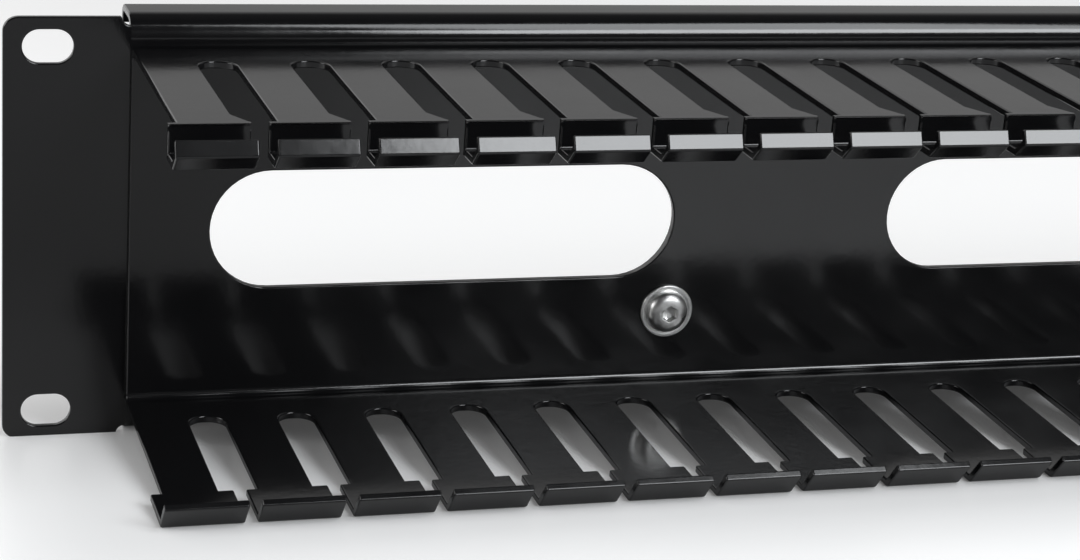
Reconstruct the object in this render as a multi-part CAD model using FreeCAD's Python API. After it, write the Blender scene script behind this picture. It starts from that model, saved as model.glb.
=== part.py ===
# A two-unit horizontal cable manager for a 19-inch rack.
#
# A folded sheet-steel panel carries an ear with two rack slots at each end. Its long edges
# are folded back as stiffening flanges that end in a small lip. In front of it sits the
# finger duct: one folded channel whose upper and lower walls are cut into fingers. Each
# upper finger ends in an open gutter and each lower finger in a lip that is turned up and
# leans forwards, which together hold a clip-on cover. Long rounded windows go through both sheets, for
# cables that pass to the rear. Two flanged button-head screws and two hexagon nuts clamp the
# duct to the panel.
#
# Frame: millimetres, origin at the centre of the four rack slots on the ears' rear face,
# +X to the right as seen from the front, +Y towards the rear, +Z up.

import FreeCAD, Part
import math
import os

Vector = FreeCAD.Vector

# ---------------------------------------------------------------- rack interface
PANEL_WIDTH = 482.6
PANEL_HEIGHT = 88.1
SLOT_SPACING_X = 465.1
SLOT_SPACING_Z = 76.2
SLOT_LENGTH = 10.0
SLOT_HEIGHT = 6.8

# ---------------------------------------------------------------- panel sheet
PANEL_SHEET = 1.5
EAR_CORNER_RADIUS = 3.0
FLANGE_DEPTH = 13.8          # panel's front face to the back of the flange's lip
FLANGE_BEND_INSIDE = 3.5
FLANGE_LIP = 4.0             # outside height of the lip behind the flange
LIP_BEND_INSIDE = 1.0
RELIEF_RADIUS = 1.8          # quarter-round notch between each ear and the flange

# ---------------------------------------------------------------- cable windows
WINDOW_COUNT = 3
WINDOW_PITCH = 150.0
WINDOW_LENGTH = 100.0
WINDOW_HEIGHT = 25.0
WINDOW_MARGIN = 0.4          # how much larger the panel's window is, all round

# ---------------------------------------------------------------- duct sheet
DUCT_WIDTH = 432.8
DUCT_HEIGHT = 75.6           # outside, over the two finger walls
DUCT_RISE = 0.4              # duct's middle above the panel's
DUCT_SHEET = 1.5
DUCT_BEND_INSIDE = 1.5
FINGER_REACH = 56.7          # duct's back wall to the front of the upper wall

# ---------------------------------------------------------------- fingers
FINGER_COUNT = 24
FINGER_PITCH = 18.2
FINGER_WIDTH = 10.7
FIRST_FINGER_INSET = 0.0     # duct's left edge to the first finger's left side
ROOT_DEPTH = 11.0            # duct's back wall to the rounded end of a gap

UPPER_HEAD_LEFT = 1.6        # how far an upper head overhangs its finger, left and right
UPPER_HEAD_RIGHT = 2.6
UPPER_HEAD_FLAT = 1.6        # length of the upper head that still lies in the finger wall
UPPER_SHOULDER_LENGTH = 5.0  # sloping shoulder into the right overhang
LOWER_HEAD_LEFT = 2.2
LOWER_HEAD_RIGHT = 2.9
LOWER_HEAD_FLAT = 12.2       # length of the lower head behind its fold

# ---------------------------------------------------------------- heads of the fingers
GUTTER_DEPTH = 6.9           # upper wall's top face to the gutter's underside
GUTTER_WIDTH = 8.7           # gutter's rear wall to the front of its lip
GUTTER_KNEE_HEIGHT = 3.4     # gutter's underside to the kink in the lip
GUTTER_LIP_SPREAD = 3.0      # how far the kink lies in front of the gutter's floor
GUTTER_LIP_RISE = 2.4        # from the kink to the lip's edge
GUTTER_LIP_LEAN = 1.1        # how far the lip's edge leans back
LOWER_WALL_EXTRA = 4.4       # how much further forward the lower wall reaches, to its fold
LOWER_LIP_RISE = 5.1         # from the fold to the lip's edge, along the middle of the sheet
LOWER_LIP_SPREAD = 4.3       # how far the lip's edge lies in front of the fold

# ---------------------------------------------------------------- fasteners
SCREW_SPACING = 200.0
SCREW_HEIGHT = -20.5
SCREW_DIAMETER = 5.0
SCREW_LENGTH = 10.0          # under the head
SCREW_HOLE = 5.5
HEAD_FLANGE_DIAMETER = 11.8
HEAD_FLANGE_EDGE = 0.7       # thickness of the head's flange
HEAD_DOME_DIAMETER = 9.2
HEAD_SHOULDER_INSET = 0.7    # from the dome's foot in to where it turns over
HEAD_SHOULDER_DROP = 0.6     # and how far that is below the crown
HEAD_HEIGHT = 2.75
HEAD_CROWN_DIAMETER = 4.6
SOCKET_ACROSS_FLATS = 3.0
SOCKET_DEPTH = 1.7
NUT_ACROSS_FLATS = 8.0
NUT_HEIGHT = 4.0
THREAD_CLEARANCE = 0.05

# ---------------------------------------------------------------- places worked out from these
TOUCH = 1.0                              # overshoot of a cutting solid past a face
PANEL_FRONT = -PANEL_SHEET
DUCT_FRONT = PANEL_FRONT - DUCT_SHEET    # front face of the duct's back wall
WALL_FRONT = DUCT_FRONT - FINGER_REACH   # where the upper wall ends
GUTTER_FRONT = WALL_FRONT - GUTTER_WIDTH
LOWER_FOLD = WALL_FRONT - LOWER_WALL_EXTRA
LOWER_FRONT = LOWER_FOLD - LOWER_LIP_SPREAD - DUCT_SHEET
DUCT_TOP = DUCT_RISE + DUCT_HEIGHT / 2
DUCT_BOTTOM = DUCT_RISE - DUCT_HEIGHT / 2
FIRST_FINGER = -DUCT_WIDTH / 2 + FIRST_FINGER_INSET
GAP_WIDTH = FINGER_PITCH - FINGER_WIDTH


def xy(x, y, z=0.0):
    """Place a plan point."""
    return Vector(x, y, z)


def at_side(x):
    """Return a placer for section points, which are (y, z) pairs, at one X."""
    return lambda y, z: Vector(x, y, z)


def unit(dx, dy):
    """The direction of (dx, dy), one long."""
    length = math.hypot(dx, dy)
    return dx / length, dy / length


def rounded_face(corners, place):
    """A flat face from (u, v, radius) corners in order, each corner an arc of its radius."""
    starts, ends, middles = [], [], []
    count = len(corners)
    for i, (u, v, radius) in enumerate(corners):
        before, after = corners[i - 1], corners[(i + 1) % count]
        au, av = unit(before[0] - u, before[1] - v)
        bu, bv = unit(after[0] - u, after[1] - v)
        half = math.acos(max(-1.0, min(1.0, au * bu + av * bv))) / 2
        if radius <= 0 or half > math.radians(89.9):
            starts.append((u, v))
            ends.append((u, v))
            middles.append(None)
            continue
        tangent = radius / math.tan(half)
        mu, mv = unit(au + bu, av + bv)
        reach = radius / math.sin(half) - radius
        starts.append((u + au * tangent, v + av * tangent))
        ends.append((u + bu * tangent, v + bv * tangent))
        middles.append((u + mu * reach, v + mv * reach))
    edges = []
    for i in range(count):
        if middles[i]:
            arc = Part.Arc(place(*starts[i]), place(*middles[i]), place(*ends[i]))
            edges.append(arc.toShape())
        here, there = place(*ends[i]), place(*starts[(i + 1) % count])
        if here.distanceToPoint(there) > 1e-6:
            edges.append(Part.LineSegment(here, there).toShape())
    return Part.Face(Part.Wire(edges))


def folded_outline(path, sheet, inside_radii):
    """Outline of a folded sheet from the line along the middle of its thickness.

    Both faces are the line moved sideways by half the sheet. At a fold, the face on the
    inside of the turn has the inside radius and the other has that plus the sheet. A fold
    whose inside radius is None stays sharp on both faces.
    """
    left, right = [], []
    last = len(path) - 1
    for i, (u, v) in enumerate(path):
        into = unit(u - path[i - 1][0], v - path[i - 1][1]) if i else None
        out = unit(path[i + 1][0] - u, path[i + 1][1] - v) if i < last else None
        into, out = into or out, out or into
        turn = into[0] * out[1] - into[1] * out[0]
        along = into[0] * out[0] + into[1] * out[1]
        shift_u = -(into[1] + out[1]) / (1 + along) * sheet / 2
        shift_v = (into[0] + out[0]) / (1 + along) * sheet / 2
        inner = outer = 0.0
        if 0 < i < last:
            inner = inside_radii[i - 1] or 0.0
            outer = 0.0 if inside_radii[i - 1] is None else inner + sheet
        left_radius, right_radius = (inner, outer) if turn > 0 else (outer, inner)
        left.append((u + shift_u, v + shift_v, left_radius))
        right.append((u - shift_u, v - shift_v, right_radius))
    return left + right[::-1]


def extruded_section(outline, x_low, x_high):
    """Carry a (y, z) outline along X."""
    return rounded_face(outline, at_side(x_low)).extrude(Vector(x_high - x_low, 0, 0))


def obround(x, z, length, height, y_low, y_high):
    """A flat-sided, round-ended prism along Y, longer along X."""
    radius = height / 2
    corners = [
        (x - length / 2, z - radius, radius),
        (x + length / 2, z - radius, radius),
        (x + length / 2, z + radius, radius),
        (x - length / 2, z + radius, radius),
    ]
    face = rounded_face(corners, lambda u, v: Vector(u, y_low, v))
    return face.extrude(Vector(0, y_high - y_low, 0))


def cylinder_along_y(x, z, radius, y_low, y_high):
    """A round bar along Y, for cutting holes."""
    return Part.makeCylinder(radius, y_high - y_low, Vector(x, y_low, z), Vector(0, 1, 0))


def window_places():
    """X of each window's centre."""
    return [(i - (WINDOW_COUNT - 1) / 2) * WINDOW_PITCH for i in range(WINDOW_COUNT)]


def screw_places():
    """X of each screw."""
    return [-SCREW_SPACING / 2, SCREW_SPACING / 2]


# ---------------------------------------------------------------- panel
def panel_body():
    """Back wall between the ears, with both long edges folded back and turned in."""
    middle = -PANEL_SHEET / 2
    back = PANEL_FRONT + FLANGE_DEPTH - PANEL_SHEET / 2
    top = (PANEL_HEIGHT - PANEL_SHEET) / 2
    lip_end = PANEL_HEIGHT / 2 - FLANGE_LIP
    path = [
        (back, -lip_end), (back, -top), (middle, -top),
        (middle, top), (back, top), (back, lip_end),
    ]
    radii = [LIP_BEND_INSIDE, FLANGE_BEND_INSIDE, FLANGE_BEND_INSIDE, LIP_BEND_INSIDE]
    outline = folded_outline(path, PANEL_SHEET, radii)
    return extruded_section(outline, -DUCT_WIDTH / 2, DUCT_WIDTH / 2)


def ear(side):
    """Flat ear with two rounded outer corners and a relief notch at each inner corner."""
    inner, outer = side * DUCT_WIDTH / 2, side * PANEL_WIDTH / 2
    half = PANEL_HEIGHT / 2
    corners = [
        (inner, -half, 0.0), (outer, -half, EAR_CORNER_RADIUS),
        (outer, half, EAR_CORNER_RADIUS), (inner, half, 0.0),
    ]
    face = rounded_face(corners, lambda x, z: Vector(x, PANEL_FRONT, z))
    plate = face.extrude(Vector(0, PANEL_SHEET, 0))
    for z in (-half, half):
        plate = plate.cut(cylinder_along_y(inner, z, RELIEF_RADIUS, PANEL_FRONT - TOUCH, TOUCH))
    return plate


def panel():
    """The folded panel with its ears, rack slots, windows and screw holes."""
    solid = panel_body().fuse([ear(-1), ear(1)]).removeSplitter()
    low, high = PANEL_FRONT - TOUCH, TOUCH
    cutters = [
        obround(sx * SLOT_SPACING_X / 2, sz * SLOT_SPACING_Z / 2, SLOT_LENGTH, SLOT_HEIGHT, low, high)
        for sx in (-1, 1) for sz in (-1, 1)
    ]
    length, height = WINDOW_LENGTH + 2 * WINDOW_MARGIN, WINDOW_HEIGHT + 2 * WINDOW_MARGIN
    cutters += [obround(x, 0.0, length, height, low, high) for x in window_places()]
    cutters += [cylinder_along_y(x, SCREW_HEIGHT, SCREW_HOLE / 2, low, high) for x in screw_places()]
    return solid.cut(cutters)


# ---------------------------------------------------------------- finger duct
def upper_path():
    """Middle line of the upper wall, from its front fold down, along and up the gutter."""
    half = DUCT_SHEET / 2
    wall = WALL_FRONT + half
    floor = DUCT_TOP - GUTTER_DEPTH + half
    front = GUTTER_FRONT + half
    knee = DUCT_TOP - GUTTER_DEPTH + GUTTER_KNEE_HEIGHT
    edge = (front + GUTTER_LIP_LEAN, knee + GUTTER_LIP_RISE)
    corner = (front + GUTTER_LIP_SPREAD, floor)
    return [(wall, DUCT_TOP - half), (wall, floor), corner, (front, knee), edge]


def lower_path():
    """Middle line of the lower wall's lip, from its upper edge down to the fold."""
    fold = DUCT_BOTTOM + DUCT_SHEET / 2
    return [(LOWER_FOLD - LOWER_LIP_SPREAD, fold + LOWER_LIP_RISE), (LOWER_FOLD, fold)]


def duct_outline():
    """Whole section of the duct: gutter, upper wall, back wall, lower wall and lip.

    The heads are folded tight, with no radius inside, and the gutter's own folds are drawn
    sharp.
    """
    half = DUCT_SHEET / 2
    back = PANEL_FRONT - half
    spine = [(back, DUCT_BOTTOM + half), (back, DUCT_TOP - half)]
    path = lower_path() + spine + upper_path()
    folds = [0.0] + [DUCT_BEND_INSIDE] * 2 + [0.0, None, None, None]
    return folded_outline(path, DUCT_SHEET, folds)


def head_shape(upper):
    """A head's left and right overhang, its shoulder's place and where the slope starts."""
    if upper:
        shoulder = WALL_FRONT + UPPER_HEAD_FLAT
        return UPPER_HEAD_LEFT, UPPER_HEAD_RIGHT, shoulder, shoulder + UPPER_SHOULDER_LENGTH
    shoulder = LOWER_FOLD + LOWER_HEAD_FLAT
    return LOWER_HEAD_LEFT, LOWER_HEAD_RIGHT, shoulder, shoulder


def finger_gap(i, upper):
    """Plan outline of what is cut away on the left of finger i, between the heads too.

    Beyond the last finger it runs out past the duct's end.
    """
    head_left, head_right, shoulder, slope_start = head_shape(upper)
    right = FIRST_FINGER + i * FINGER_PITCH
    left = right - GAP_WIDTH
    root = DUCT_FRONT - ROOT_DEPTH
    beyond = min(GUTTER_FRONT, LOWER_FRONT) - TOUCH
    corners = [
        (left + head_right, beyond, 0.0),
        (left + head_right, shoulder, 0.0),
        (left, slope_start, 0.0),
        (left, root, GAP_WIDTH / 2),
    ]
    if i == FINGER_COUNT:
        outside = max(DUCT_WIDTH / 2, left + head_right) + TOUCH
        return rounded_face(corners + [(outside, root, 0.0), (outside, beyond, 0.0)], xy)
    return rounded_face(corners + [
        (right, root, GAP_WIDTH / 2),
        (right, shoulder, 0.0),
        (right - head_left, shoulder, 0.0),
        (right - head_left, beyond, 0.0),
    ], xy)


def gap_cutters(upper):
    """Solids that cut one wall of the duct into fingers."""
    depth = (GUTTER_DEPTH if upper else LOWER_LIP_RISE + DUCT_SHEET) + DUCT_SHEET + 2 * TOUCH
    base = DUCT_TOP + TOUCH - depth if upper else DUCT_BOTTOM - TOUCH
    plans = [finger_gap(i, upper) for i in range(FINGER_COUNT + 1)]
    return [plan.translated(Vector(0, 0, base)).extrude(Vector(0, 0, depth)) for plan in plans]


def finger_duct():
    """One folded channel: the section carried across, then cut into fingers."""
    head_overhang = max(UPPER_HEAD_LEFT, LOWER_HEAD_LEFT) - FIRST_FINGER_INSET
    left = -DUCT_WIDTH / 2 - head_overhang
    solid = extruded_section(duct_outline(), left, DUCT_WIDTH / 2)
    shoulder = max(head_shape(True)[3], head_shape(False)[3])
    margin = Part.makeBox(
        head_overhang + TOUCH, PANEL_FRONT + TOUCH - shoulder, DUCT_HEIGHT + 2 * TOUCH,
        Vector(left - TOUCH, shoulder, DUCT_BOTTOM - TOUCH),
    )
    solid = solid.cut([margin] + gap_cutters(True) + gap_cutters(False))
    low, high = DUCT_FRONT - TOUCH, PANEL_FRONT + TOUCH
    cutters = [obround(x, 0.0, WINDOW_LENGTH, WINDOW_HEIGHT, low, high) for x in window_places()]
    cutters += [cylinder_along_y(x, SCREW_HEIGHT, SCREW_HOLE / 2, low, high) for x in screw_places()]
    return solid.cut(cutters).removeSplitter()


# ---------------------------------------------------------------- fasteners
def turned(profile, x, z, seat):
    """Turn (radius, height) corners about an axis along Y. Height grows forwards from the seat."""
    face = rounded_face(profile, lambda r, h: Vector(x + r, seat - h, z))
    return face.revolve(Vector(x, seat, z), Vector(0, 1, 0), 360)


def hexagon_prism(across_flats, x, z, y_low, y_high):
    """A hexagonal prism along Y, with two corners level with its axis."""
    corner = across_flats / math.sqrt(3)
    turns = [i * math.pi / 3 for i in range(7)]
    points = [
        Vector(x + corner * math.cos(turn), y_low, z + corner * math.sin(turn)) for turn in turns
    ]
    return Part.Face(Part.makePolygon(points)).extrude(Vector(0, y_high - y_low, 0))


def screw(x):
    """Flanged button-head screw, pushed in from the front, with a hexagon socket."""
    shank = SCREW_DIAMETER / 2
    dome = HEAD_DOME_DIAMETER / 2
    profile = [
        (0.0, -SCREW_LENGTH, 0.0),
        (shank, -SCREW_LENGTH, 0.0),
        (shank, 0.0, 0.0),
        (HEAD_FLANGE_DIAMETER / 2, 0.0, 0.0),
        (HEAD_FLANGE_DIAMETER / 2, HEAD_FLANGE_EDGE, 0.0),
        (dome, HEAD_FLANGE_EDGE, 0.0),
        (dome - HEAD_SHOULDER_INSET, HEAD_HEIGHT - HEAD_SHOULDER_DROP, 0.0),
        (HEAD_CROWN_DIAMETER / 2, HEAD_HEIGHT, 0.0),
        (0.0, HEAD_HEIGHT, 0.0),
    ]
    solid = turned(profile, x, SCREW_HEIGHT, DUCT_FRONT)
    crown = DUCT_FRONT - HEAD_HEIGHT
    socket = hexagon_prism(SOCKET_ACROSS_FLATS, x, SCREW_HEIGHT, crown - TOUCH, crown + SOCKET_DEPTH)
    return solid.cut(socket)


def nut(x):
    """Hexagon nut on the panel's rear face."""
    bore = SCREW_DIAMETER / 2 + THREAD_CLEARANCE
    flats = hexagon_prism(NUT_ACROSS_FLATS, x, SCREW_HEIGHT, 0.0, NUT_HEIGHT)
    return flats.cut(cylinder_along_y(x, SCREW_HEIGHT, bore, -TOUCH, NUT_HEIGHT + TOUCH))


# ---------------------------------------------------------------- export
pieces = {"panel": panel(), "finger_duct": finger_duct()}
for side, place in zip(("left", "right"), screw_places()):
    pieces["screw_" + side] = screw(place)
    pieces["hex_nut_" + side] = nut(place)

os.makedirs("parts", exist_ok=True)
for name, shape in pieces.items():
    solids = shape.Solids
    if len(solids) != 1 or not shape.isValid():
        raise ValueError("%s has %d solids, valid %s" % (name, len(solids), shape.isValid()))
    solids[0].exportStep("parts/%s.step" % name)
    box = solids[0].BoundBox
    print("%-18s volume %9.1f  box %s" % (name, solids[0].Volume, [round(v, 2) for v in (
        box.XMin, box.YMin, box.ZMin, box.XMax, box.YMax, box.ZMax)]))
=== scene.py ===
"""A two-unit horizontal cable manager for a 19-inch rack, in black powder coat.

Metres, +X to the right as seen from the front, +Y towards the rear, +Z up, with the origin at
the centre of the four rack slots on the ears' rear face.
"""

import math

import bmesh
import bpy
import numpy as np
from mathutils import Matrix, Vector
from mathutils.bvhtree import BVHTree


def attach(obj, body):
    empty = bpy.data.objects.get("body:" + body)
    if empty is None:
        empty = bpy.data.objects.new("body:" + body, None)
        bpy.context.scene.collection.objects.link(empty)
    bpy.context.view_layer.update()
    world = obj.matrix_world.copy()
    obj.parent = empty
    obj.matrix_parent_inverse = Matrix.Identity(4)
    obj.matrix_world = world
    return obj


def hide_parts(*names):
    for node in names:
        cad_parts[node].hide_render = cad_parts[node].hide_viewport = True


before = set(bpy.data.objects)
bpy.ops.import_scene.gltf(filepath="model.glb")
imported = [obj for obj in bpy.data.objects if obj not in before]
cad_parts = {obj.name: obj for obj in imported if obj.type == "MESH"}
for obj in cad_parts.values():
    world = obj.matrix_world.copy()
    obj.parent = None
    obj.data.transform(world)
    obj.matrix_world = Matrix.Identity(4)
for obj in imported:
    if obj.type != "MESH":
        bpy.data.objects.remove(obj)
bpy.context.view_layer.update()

MM = 0.001
SHEET = 1.5 * MM
WHITE = (1.0, 1.0, 1.0)


# ---------------------------------------------------------------- materials
class Nodes:
    """The node tree of a material or of the world, with short calls for its nodes and links."""

    def __init__(self, owner, output):
        owner.use_nodes = True
        self.owner = owner
        self.tree = owner.node_tree
        self.tree.nodes.clear()
        self.output = self.add(output)

    def add(self, kind, **settings):
        """A node of a kind. Each setting is an input, with _ for a space, or else a property."""
        node = self.tree.nodes.new("ShaderNode" + kind)
        for key, value in settings.items():
            socket = key.replace("_", " ")
            if socket in node.inputs:
                node.inputs[socket].default_value = value
            else:
                setattr(node, key, value)
        return node

    def join(self, source, output, target, socket):
        """Link an output to an input, and hand back the node that it leads to."""
        self.tree.links.new(source.outputs[output], target.inputs[socket])
        return target

    def grey_ramp(self, source, output, *stops):
        """A ramp through (place, grey level) stops."""
        node = self.add("ValToRGB")
        ramp = node.color_ramp
        while len(ramp.elements) < len(stops):
            ramp.elements.new(0.5)
        for element, (place, level) in zip(ramp.elements, stops):
            element.position = place
            element.color = (level, level, level, 1.0)
        return self.join(source, output, node, "Fac")

    def smooth_step(self, source, output, start, end):
        """Go smoothly from one (place, level) to another, and stay level outside them."""
        node = self.add(
            "MapRange", interpolation_type="SMOOTHSTEP",
            From_Min=start[0], From_Max=end[0], To_Min=start[1], To_Max=end[1],
        )
        return self.join(source, output, node, "Value")

    def maths(self, operation, *terms):
        """A Math node's (node, output) pair. A term is such a pair or a number."""
        node = self.add("Math", operation=operation)
        for place, term in enumerate(terms):
            if isinstance(term, tuple):
                self.join(*term, node, place)
            else:
                node.inputs[place].default_value = term
        return node, "Value"

    def vector_maths(self, operation, source, output, other=None):
        """A VectorMath node on one vector, and on a fixed second one where it needs it."""
        node = self.join(source, output, self.add("VectorMath", operation=operation), 0)
        if other is not None:
            node.inputs[1].default_value = other
        return node

    def noise(self, place, scale, detail, rough):
        """Noise that keeps to the piece's own coordinates."""
        node = self.add("TexNoise", Scale=scale, Detail=detail, Roughness=rough)
        return self.join(place, "Object", node, "Vector")


def new_material(name):
    """An empty material's node tree."""
    return Nodes(bpy.data.materials.new(name), "OutputMaterial")


def powder_coat():
    """Black semi-gloss powder coat: cloudy gloss, a faint orange-peel ripple and fine grain."""
    n = new_material("black_powder_coat")
    place = n.add("TexCoord")
    shader = n.add("BsdfPrincipled", IOR=1.50, Metallic=0.0, Base_Color=(0.0042, 0.0042, 0.0046, 1.0))
    cloud = n.noise(place, 55.0, 3.0, 0.6)
    gloss = n.grey_ramp(cloud, "Fac", (0.35, 0.11), (0.70, 0.16))
    n.join(gloss, "Color", shader, "Roughness")

    peel = n.noise(place, 620.0, 1.0, 0.4)
    grain = n.noise(place, 3800.0, 2.0, 0.6)
    ripple = n.join(peel, "Fac", n.add("Bump", Strength=0.14, Distance=0.06 * MM), "Height")
    fine = n.join(grain, "Fac", n.add("Bump", Strength=0.16, Distance=0.01 * MM), "Height")
    n.join(ripple, "Normal", fine, "Normal")
    n.join(fine, "Normal", shader, "Normal")
    n.join(shader, "BSDF", n.output, "Surface")
    return n.owner


def zinc(name, colour, rough):
    """Bright zinc plating, whose passivation makes it cloudy and very slightly uneven."""
    n = new_material(name)
    place = n.add("TexCoord")
    shader = n.add("BsdfPrincipled", Metallic=1.0, Base_Color=(*colour, 1.0))
    cloud = n.noise(place, 420.0, 4.0, 0.6)
    haze = n.grey_ramp(cloud, "Fac", (0.3, rough * 0.75), (0.75, rough * 1.35))
    n.join(haze, "Color", shader, "Roughness")
    bump = n.join(cloud, "Fac", n.add("Bump", Strength=0.15, Distance=0.02 * MM), "Height")
    n.join(bump, "Normal", shader, "Normal")
    n.join(shader, "BSDF", n.output, "Surface")
    return n.owner


COAT = powder_coat()
SCREW_ZINC = zinc("screw_zinc", (0.74, 0.74, 0.73), 0.36)
NUT_ZINC = zinc("nut_zinc", (0.58, 0.58, 0.55), 0.30)


# ---------------------------------------------------------------- pieces in the scene
def new_object(name, data):
    """Put a mesh, a lamp or a camera in the scene."""
    piece = bpy.data.objects.new(name, data)
    bpy.context.scene.collection.objects.link(piece)
    return piece


def smooth(mesh):
    """Shade every face of a mesh smooth."""
    mesh.polygons.foreach_set("use_smooth", np.ones(len(mesh.polygons), dtype=bool))


def stand_for(node, mesh, material):
    """Put a finished mesh in the scene in place of a CAD node."""
    piece = new_object(mesh.name, mesh)
    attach(piece, "root")
    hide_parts(node)
    mesh.materials.append(material)
    return piece


# ---------------------------------------------------------------- folded sheets
CUT_RADIUS = 0.32 * MM           # how far the coat rounds a cut edge
CUT_STRAY = 0.8 * CUT_RADIUS     # a rounded point further than this off the sheet is astray
SHARP_TURN = math.radians(30)    # an edge that turns by more than this is a cut or a sharp fold
FLAT_TURN = math.radians(0.6)    # faces that turn by less than this are one plate
SHORTEST = 0.12 * MM             # points closer than this are one
CLOSE = 0.05 * MM                # what lies within this of a place is at it
BIG_FACE = 12                    # a face with more points is split before its edges are rounded

FOLD_OUTSIDE = 0.5 * MM          # round on the outside of a gutter fold
FOLD_INSIDE = 0.35 * MM
GUTTER_Y = (-70.0 * MM, -57.5 * MM)      # the space that holds the gutter's folds
GUTTER_Z = (30.5 * MM, 35.6 * MM)
TOP_FOLD = (-59.7 * MM, 38.2 * MM)       # Y and Z of the heads' top fold
TIGHT = 0.45 * MM                # its outside radius once it is tightened
ARC_STRAY = 0.02 * MM            # how far off its arc a point of it may lie
NOTCH_SIDE = 216.4 * MM          # X of the notch between an ear and the flange
NOTCH_HEIGHT = 39.0 * MM         # it lies further from the middle than this
NOTCH_REAR = 2.0 * MM            # and in front of this

SHEET_MARK, CUT_MARK = 0, 1      # material index of the sheet's own faces and of rounded strips
PLATE_TURN = math.radians(25)    # faces that turn by less share a normal at their point
STRIP_TURN = math.radians(55)    # the same beside a rounded strip


def sharp_folds(work):
    """The gutter's edges along X that still turn sharply, with their turns."""
    found = []
    for edge in work.edges:
        first, second = (vert.co for vert in edge.verts)
        along, middle = second - first, (first + second) / 2
        if (
            len(edge.link_faces) == 2 and abs(along.x) > 0.999 * along.length
            and GUTTER_Y[0] < middle.y < GUTTER_Y[1] and GUTTER_Z[0] < middle.z < GUTTER_Z[1]
            and edge.calc_face_angle(0.0) > SHARP_TURN
        ):
            found.append((edge, edge.calc_face_angle(0.0)))
    return found


def round_folds(work):
    """Round the gutter's folds, one turn and one side of the sheet at a time.

    Each edge is set back by its radius times tan(turn / 2).
    """
    for _ in range(12):
        folds = sharp_folds(work)
        if not folds:
            break
        outside, turn = folds[0][0].is_convex, folds[0][1]
        alike = [e for e, t in folds if e.is_convex == outside and abs(t - turn) < math.radians(1)]
        radius = FOLD_OUTSIDE if outside else FOLD_INSIDE
        bmesh.ops.bevel(
            work, geom=alike, offset=radius * math.tan(turn / 2), offset_type="OFFSET",
            segments=4 if outside else 3, profile=0.5, affect="EDGES", clamp_overlap=True,
        )


def at_ear_notch(edge):
    """True for the short edges where an ear's notch runs into the flange's bend."""
    middle = (edge.verts[0].co + edge.verts[1].co) / 2
    return (
        abs(abs(middle.x) - NOTCH_SIDE) < CLOSE and abs(middle.z) > NOTCH_HEIGHT
        and middle.y < NOTCH_REAR
    )


def tighten_fold(work):
    """Bring the outside of the upper heads' top fold from its arc of one sheet to a tight one.

    A point of the arc at angle a from upright moves to the tight arc's angle 2a - 45 degrees,
    held between 0 and 90. The two ends of the arc stay.
    """
    centre = (TOP_FOLD[0] + SHEET, TOP_FOLD[1] - SHEET)
    for vert in work.verts:
        across, up = centre[0] - vert.co.y, vert.co.z - centre[1]
        off_arc = abs(math.hypot(across, up) - SHEET)
        if across < CLOSE or up < CLOSE or off_arc > ARC_STRAY:
            continue
        turn = min(math.pi / 2, max(0.0, 2 * math.atan2(across, up) - math.pi / 4))
        vert.co.y = TOP_FOLD[0] + TIGHT - TIGHT * math.sin(turn)
        vert.co.z = TOP_FOLD[1] - TIGHT + TIGHT * math.cos(turn)


def round_cuts(work):
    """Round every edge that turns sharply. The new faces carry CUT_MARK.

    Big faces are split into triangles first. A point that the rounding throws off the sheet,
    where very short edges meet, goes back to the nearest place on it.
    """
    sheet = BVHTree.FromBMesh(work)
    bmesh.ops.triangulate(work, faces=[face for face in work.faces if len(face.verts) > BIG_FACE])
    cuts = [
        edge for edge in work.edges
        if len(edge.link_faces) == 2 and edge.calc_face_angle(0.0) > SHARP_TURN
        and not at_ear_notch(edge)
    ]
    bmesh.ops.bevel(
        work, geom=cuts, offset=CUT_RADIUS, offset_type="OFFSET", segments=2, profile=0.5,
        affect="EDGES", clamp_overlap=False, loop_slide=False, material=CUT_MARK,
    )
    for vert in work.verts:
        place, _, _, distance = sheet.find_nearest(vert.co)
        if distance > CUT_STRAY:
            vert.co = place


def read(collection, field, kind, per_item=1):
    """One field of all a mesh's points, corners or faces as an array."""
    values = np.empty(len(collection) * per_item, dtype=kind)
    collection.foreach_get(field, values)
    return values if per_item == 1 else values.reshape(-1, per_item)


def corner_normals(mesh):
    """Shading normals that keep plates flat and run smoothly round bends and cut edges.

    A corner's normal is the sum of the normals of the sheet's own faces at its point, each
    times its area, and only of those within PLATE_TURN of the corner's face, or STRIP_TURN for
    a rounded strip. Rounded strips themselves count only at points that touch no other face.
    """
    corners, points = len(mesh.loops), len(mesh.vertices)
    point = read(mesh.loops, "vertex_index", np.int64)
    sides = read(mesh.polygons, "loop_total", np.int64)
    strip = read(mesh.polygons, "material_index", np.int64) == CUT_MARK
    area = read(mesh.polygons, "area", float)
    facing = read(mesh.polygons, "normal", float, 3)
    face = np.repeat(np.arange(len(mesh.polygons)), sides)

    # every pair of corners that meet at one point: here, and there beside it
    order = np.argsort(point, kind="stable")
    around = np.bincount(point, minlength=points)
    start = np.cumsum(around) - around
    degree = around[point]
    here = np.repeat(np.arange(corners), degree)
    step = np.arange(degree.sum()) - np.repeat(np.cumsum(degree) - degree, degree)
    there = order[start[point[here]] + step]
    mine, other = face[here], face[there]

    has_plate = np.bincount(point, weights=~strip[face], minlength=points) > 0
    alike = (facing[mine] * facing[other]).sum(axis=1)
    limit = np.where(strip[mine], math.cos(STRIP_TURN), math.cos(PLATE_TURN))
    counts = (alike > limit) & (~strip[other] | ~has_plate[point[here]])
    weight = area[other] * counts
    total = np.stack([
        np.bincount(here, weights=weight * facing[other, axis], minlength=corners)
        for axis in range(3)
    ], axis=1)
    length = np.linalg.norm(total, axis=1, keepdims=True)
    none = 1e-15
    return np.where(length > none, total / np.maximum(length, none), facing[face])


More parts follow.
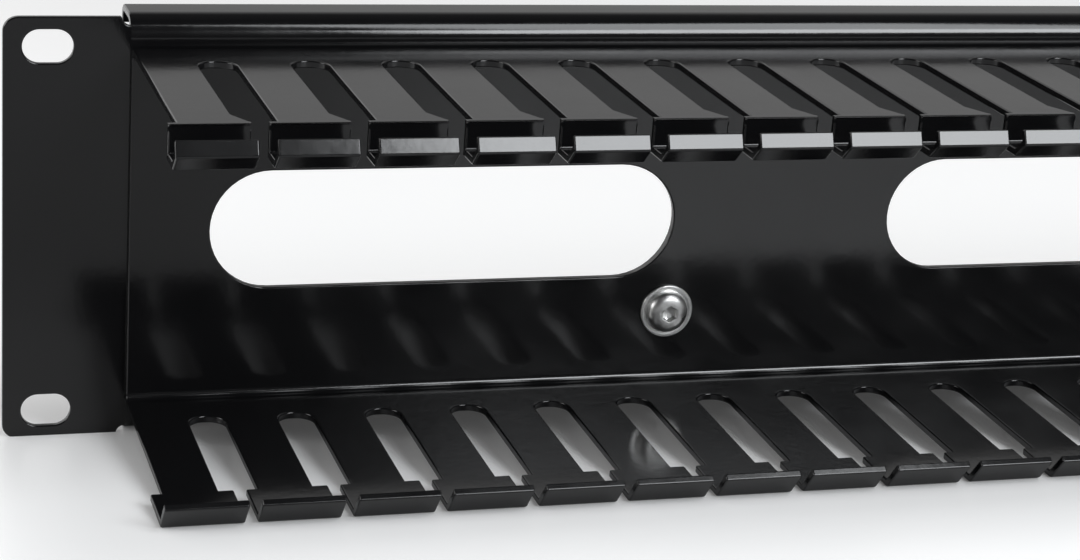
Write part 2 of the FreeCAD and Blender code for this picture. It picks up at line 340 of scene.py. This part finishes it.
def folded_sheet(node, name):
    """The node's own faces, joined into flat plates and bends, with cut edges and folds rounded.

    A copy is merged first, and triangles that lie in one plane become one face. The marks of
    the rounded strips are taken off again once the normals are worked out.
    """
    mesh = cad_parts[node].data.copy()
    mesh.name = name
    mesh.materials.clear()
    work = bmesh.new()
    work.from_mesh(mesh)
    bmesh.ops.remove_doubles(work, verts=work.verts, dist=SHORTEST)
    bmesh.ops.dissolve_limit(
        work, angle_limit=FLAT_TURN, use_dissolve_boundaries=False,
        verts=work.verts, edges=work.edges,
    )
    tighten_fold(work)
    round_folds(work)
    for face in work.faces:
        face.material_index = SHEET_MARK
    round_cuts(work)
    work.to_mesh(mesh)
    work.free()
    smooth(mesh)
    normals = corner_normals(mesh)
    plain = np.full(len(mesh.polygons), SHEET_MARK, dtype=np.int32)
    mesh.polygons.foreach_set("material_index", plain)
    mesh.normals_split_custom_set(normals)
    return stand_for(node, mesh, COAT)


folded_sheet("panel", "coated_panel")
folded_sheet("finger_duct", "coated_finger_duct")


# ---------------------------------------------------------------- screws and nuts, in millimetres
AROUND = 96                      # points round a turned surface, a multiple of 12
TURNS = np.arange(AROUND) * 2 * np.pi / AROUND
SEAT = -3.0                      # Y of the duct's front face, which the screw head sits on
PANEL_REAR = -3.0                # height of the panel's rear face, counted forwards from the seat
SCREW_Z = -20.5
SCREW_X = {"left": -100.0, "right": 100.0}
SCREW_LENGTH = 10.0
SHANK = 2.5                      # radius
THREAD_PITCH = 0.8
THREAD_DEPTH = 0.43
THREAD_END = 3.0                 # from the seat to where the thread ends
TIP_BEVEL = 0.75
SOCKET = 1.5                     # half the socket's width across flats
NUT_FLATS = 4.0                  # half the nut's width across flats
NUT_HEIGHT = 4.0
NUT_FACE = 3.85                  # radius of the nut's bearing face
NUT_CONE = 1.73                  # how much its bevel's radius grows for each millimetre of depth
BORE = SHANK + 0.05
BORE_BEVEL = 0.35


def hexagon(half_flats):
    """Distance from the axis to a hexagon's side at each turn.

    It is half the width across flats over the cosine of the angle to the nearest flat's middle.
    """
    return half_flats / np.cos(TURNS % (np.pi / 3) - np.pi / 6)


def arc(centre, radius, start, end, count):
    """Points on an arc as (radius from the axis, height), angles in degrees from outwards."""
    turns = [math.radians(a) for a in np.linspace(start, end, count)]
    return [
        (centre[0] + radius[0] * math.cos(a), centre[1] + radius[1] * math.sin(a)) for a in turns
    ]


def turned_mesh(name, rings, x, closed, crease):
    """A mesh of rings about a screw's axis, which lies along Y.

    A ring is a radius and a height in front of the seat. The radius is one number or one for
    each turn: a point is (x + radius sin turn, seat - height, z + radius cos turn). A closed
    row of rings joins the last to the first, and an open one has a face across each end. The
    rings run towards the rear on the outside, which makes the faces point outwards.
    """
    rows = len(rings)
    radii = np.stack([np.broadcast_to(radius, AROUND).astype(float) for radius, _ in rings])
    heights = np.repeat([[float(height)] for _, height in rings], AROUND, axis=1)
    points = np.stack([
        x + radii * np.sin(TURNS), SEAT - heights, SCREW_Z + radii * np.cos(TURNS),
    ], axis=-1).reshape(-1, 3) * MM
    i, j = np.meshgrid(np.arange(rows if closed else rows - 1), np.arange(AROUND), indexing="ij")
    after, beside = (i + 1) % rows, (j + 1) % AROUND
    faces = np.stack([
        i * AROUND + j, i * AROUND + beside, after * AROUND + beside, after * AROUND + j,
    ], axis=-1).reshape(-1, 4).tolist()
    if not closed:
        last = (rows - 1) * AROUND
        faces.insert(0, tuple(range(AROUND - 1, -1, -1)))
        faces.append(tuple(range(last, last + AROUND)))
    mesh = bpy.data.meshes.new(name)
    mesh.from_pydata(points.tolist(), [], faces)
    smooth(mesh)
    mesh.set_sharp_from_angle(angle=math.radians(crease))
    return mesh


def threaded_shank():
    """Rings of the shank, from its tip up to the seat, with a rolled thread.

    A ring's radius falls and rises once for each pitch of height, one pitch later for each full
    turn, with narrow flats at the crest and the root. The tip's bevel takes over where it is
    the smaller.
    """
    rings = [(SHANK - TIP_BEVEL, -SCREW_LENGTH)]
    for height in np.arange(-SCREW_LENGTH + 0.05, -THREAD_END, THREAD_PITCH / 10):
        phase = (height / THREAD_PITCH - TURNS / (2 * np.pi)) % 1.0
        depth = THREAD_DEPTH * np.clip(1.25 * (1 - np.abs(2 * phase - 1)) - 0.1, 0.0, 1.0)
        point = TIP_BEVEL - min(TIP_BEVEL, height + SCREW_LENGTH)
        rings.append((np.minimum(SHANK - depth, SHANK - point), height))
    return rings + [(SHANK - THREAD_DEPTH, -2.95), (SHANK - 0.35, -0.05), (SHANK, 0.0)]


def screw_head():
    """Rings of the head: its flange, the groove round the dome, the dome and the crown."""
    flange = [(5.75, 0.0)] + arc((5.65, 0.25), (0.25, 0.25), -60, 0, 4)
    flange += arc((5.60, 0.42), (0.30, 0.28), 0, 90, 6)
    groove = [(5.20, 0.69), (4.95, 0.60), (4.72, 0.56), (4.60, 0.62)]
    dome = arc((2.45, 0.60), (2.15, 2.10), 4, 84, 14)
    crown = [(2.45, 2.745), (2.30, 2.75), (2.05, 2.745)]
    return flange + groove + dome + crown


def socket_rings():
    """Rings of the socket, which go from a circle to a hexagon and in to the drill's cone."""
    hole = hexagon(SOCKET)
    mouth = 0.25 * 1.9 + 0.75 * (hole + 0.14)
    return [
        (mouth, 2.73), (hole + 0.10, 2.68), (hole, 2.52), (hole, 1.15), (hole * 0.86, 1.02),
        (0.30, 0.72),
    ]


def socket_screw(side):
    """Flanged button-head screw with a hexagon socket."""
    tip_to_socket = threaded_shank() + screw_head() + socket_rings()
    rings = tip_to_socket[::-1]
    mesh = turned_mesh("socket_screw_" + side, rings, SCREW_X[side], closed=False, crease=35)
    return stand_for("screw_" + side, mesh, SCREW_ZINC)


def plain_nut(side):
    """Hexagon nut: a side's radius is the lesser of the hexagon's and a 30 degree cone's."""
    flats = hexagon(NUT_FLATS)
    depths = (0.0, 0.04, 0.10, 0.18, 0.27, 0.36)
    bevel = [(np.minimum(flats, NUT_FACE + depth * NUT_CONE), depth) for depth in depths]
    outside = bevel + [(radius, NUT_HEIGHT - depth) for radius, depth in reversed(bevel)]
    bore = [
        (BORE + BORE_BEVEL, NUT_HEIGHT), (BORE, NUT_HEIGHT - BORE_BEVEL), (BORE, BORE_BEVEL),
        (BORE + BORE_BEVEL, 0.0), (NUT_FACE - 0.05, 0.0),
    ]
    rings = [(radius, PANEL_REAR - depth) for radius, depth in outside + bore]
    mesh = turned_mesh("plain_nut_" + side, rings, SCREW_X[side], closed=True, crease=30)
    return stand_for("hex_nut_" + side, mesh, NUT_ZINC)


for side in ("left", "right"):
    socket_screw(side)
    plain_nut(side)


# ---------------------------------------------------------------- floor
# The manager stands on its rear flange and on the folds of the lower fingers, so the floor is
# the plane through those two lines, in the part's own frame.
FLANGE_FOOT = Vector((0.0, 3.01 * MM, -44.03 * MM))
LIP_FOOT = Vector((0.0, -63.90 * MM, -37.39 * MM))
FLOOR_DROP = 0.02 * MM           # so that the part just clears the floor
FLOOR_HALF = 6.0

FLOOR_WHITE = 0.88
PAINTED_GLOSS_SHADE = 0.42                # painted shade: grey of the floor in front of the part, as gloss sees it
GLOSS_Y = (-0.10, 0.06)          # where that runs out to white
FOOTPRINT_MIDDLE = (0.0, -0.030, 0.0)
FOOTPRINT_HALF = (0.225, 0.040, 10.0)
SHADE_LIFT, OPEN_LIFT = 0.05, 0.25      # painted glow the camera sees added: weaker under the part, as painted shade, and whole away
LIFT_REACH = 0.05                # how far from the footprint the lift is whole


def floor_material():
    """White floor with a faint sheen, shaded everywhere, so that it keeps the shadow.

    The camera sees a painted white glow added to it, a little under the part and more away
    from it, so that it runs out to white while the shadow under the part stays deep: the
    weaker glow there is painted shade. Gloss sees it painted greyer in front of the part, a
    painted shade that stands in for the dim studio there, and white behind it.
    """
    n = new_material("white_floor_with_painted_shade")
    shader = n.add("BsdfPrincipled", Roughness=0.30, IOR=1.35)
    place, seen = n.add("TexCoord"), n.add("LightPath")
    split = n.join(place, "Object", n.add("SeparateXYZ"), 0)
    # painted shade in reflections: gloss sees the floor grey in front of the part, white behind
    behind = n.smooth_step(split, "Y", (GLOSS_Y[0], PAINTED_GLOSS_SHADE), (GLOSS_Y[1], FLOOR_WHITE))
    tone = n.add("Mix", data_type="FLOAT", A=FLOOR_WHITE)
    n.join(seen, "Is Glossy Ray", tone, "Factor")
    n.join(behind, "Result", tone, "B")
    grey = n.add("CombineColor")
    for channel in ("Red", "Green", "Blue"):
        n.join(tone, "Result", grey, channel)
    n.join(grey, "Color", shader, "Base Color")

    # painted glow for camera rays, weaker over the part's footprint: painted shade under the part
    centred = n.vector_maths("SUBTRACT", place, "Object", FOOTPRINT_MIDDLE)
    mirrored = n.vector_maths("ABSOLUTE", centred, "Vector")
    beyond = n.vector_maths("SUBTRACT", mirrored, "Vector", FOOTPRINT_HALF)
    outside = n.vector_maths("MAXIMUM", beyond, "Vector", (0.0, 0.0, 0.0))
    reach = n.vector_maths("LENGTH", outside, "Vector")
    away = n.smooth_step(reach, "Value", (0.0, SHADE_LIFT), (LIFT_REACH, OPEN_LIFT))
    lift = n.maths("MULTIPLY", (seen, "Is Camera Ray"), (away, "Result"))
    white = n.join(*lift, n.add("Emission", Color=(*WHITE, 1.0)), "Strength")
    total = n.join(shader, "BSDF", n.add("AddShader"), 0)
    n.join(white, "Emission", total, 1)
    n.join(total, "Shader", n.output, "Surface")
    return n.owner


def pale_floor():
    """A wide flat floor through the part's two feet."""
    back = (FLANGE_FOOT - LIP_FOOT).normalized()
    lean = Matrix.Rotation(math.atan2(back.z, back.y), 4, "X")
    across, along, up = (lean @ Vector(axis) for axis in ((1, 0, 0), (0, 1, 0), (0, 0, 1)))
    middle = FLANGE_FOOT - FLOOR_DROP * up
    corners = [
        middle + u * FLOOR_HALF * across + v * FLOOR_HALF * along
        for u, v in ((-1, -1), (1, -1), (1, 1), (-1, 1))
    ]
    mesh = bpy.data.meshes.new("floor")
    mesh.from_pydata(corners, [], [(0, 1, 2, 3)])
    mesh.materials.append(floor_material())
    new_object("floor", mesh)


pale_floor()


# ---------------------------------------------------------------- light
SOFT_WHITE = (0.95, 0.975, 1.0)
LAMP_DISTANCE = 1.6


def at_angle(azimuth, elevation, distance):
    """A place seen from the origin at an angle to the right of straight ahead and above it."""
    a, e = math.radians(azimuth), math.radians(elevation)
    return Vector((math.sin(a) * math.cos(e), -math.cos(a) * math.cos(e), math.sin(e))) * distance


def softbox(name, azimuth, elevation, width, height, radiance, colour):
    """A rectangular soft lamp that faces the part: its power is radiance times area times pi."""
    light = bpy.data.lights.new(name, "AREA")
    light.shape = "RECTANGLE"
    light.size, light.size_y = width, height
    light.energy = radiance * width * height * math.pi
    light.color = colour
    lamp = new_object(name, light)
    lamp.location = at_angle(azimuth, elevation, LAMP_DISTANCE)
    lamp.rotation_euler = (-lamp.location).to_track_quat("-Z", "Y").to_euler()


softbox("key_softbox", 25.9, 30.5, 0.83, 0.42, 12.5, SOFT_WHITE)
softbox("upper_softbox", 30.0, 52.0, 0.66, 0.80, 6.0, SOFT_WHITE)
softbox("side_softbox", -86.0, 22.0, 0.70, 0.55, 5.0, WHITE)


def studio():
    """The studio round the part: a white backdrop behind it, whitest on the left.

    It gets dim towards the front and overhead. Matt surfaces get an even fill instead where
    that is brighter, and the camera sees white.
    """
    world = bpy.data.worlds.new("studio")
    bpy.context.scene.world = world
    n = Nodes(world, "OutputWorld")
    seen, way = n.add("LightPath"), n.add("TexCoord")
    split = n.join(way, "Generated", n.add("SeparateXYZ"), 0)
    whitest = n.smooth_step(split, "X", (-0.05, 1.0), (0.14, 0.42))
    behind = n.smooth_step(split, "Y", (-0.25, 0.05), (0.45, 1.0))
    n.join(whitest, "Result", behind, "To Max")
    below = n.smooth_step(split, "Z", (0.45, 1.0), (0.85, 0.15))
    backdrop = n.maths("MULTIPLY", (behind, "Result"), (below, "Result"))
    fill = n.maths("MULTIPLY", (seen, "Is Diffuse Ray"), 0.45)
    lit = n.maths("MAXIMUM", backdrop, fill)
    strength = n.maths("MAXIMUM", lit, (seen, "Is Camera Ray"))
    light = n.join(*strength, n.add("Background", Color=(*WHITE, 1.0)), "Strength")
    n.join(light, "Background", n.output, "Surface")


studio()


# ---------------------------------------------------------------- camera
CAMERA_AZIMUTH, CAMERA_ELEVATION, CAMERA_ROLL = 17.801, 18.320, 4.031      # degrees
CAMERA_PLACE = (-0.28775, -0.49719, 0.15921)
SENSOR_WIDTH, LENS = 36.0, 85.74                                          # millimetres


def camera():
    """The camera, with its axes worked out from its azimuth, elevation and roll."""
    azimuth, elevation, roll = (
        math.radians(angle) for angle in (CAMERA_AZIMUTH, CAMERA_ELEVATION, CAMERA_ROLL)
    )
    ahead = Vector((
        math.sin(azimuth) * math.cos(elevation),
        math.cos(azimuth) * math.cos(elevation),
        -math.sin(elevation),
    ))
    level = Vector((math.cos(azimuth), -math.sin(azimuth), 0.0))
    upright = level.cross(ahead)
    right = math.cos(roll) * level + math.sin(roll) * upright
    up = -math.sin(roll) * level + math.cos(roll) * upright
    data = bpy.data.cameras.new("camera")
    data.sensor_width = SENSOR_WIDTH
    data.lens = LENS
    data.clip_start = 0.01
    turn = Matrix((right, up, -ahead)).transposed()
    piece = new_object("camera", data)
    piece.matrix_world = Matrix.Translation(CAMERA_PLACE) @ turn.to_4x4()
    bpy.context.scene.camera = piece


camera()
bpy.context.scene.view_settings.view_transform = "Standard"
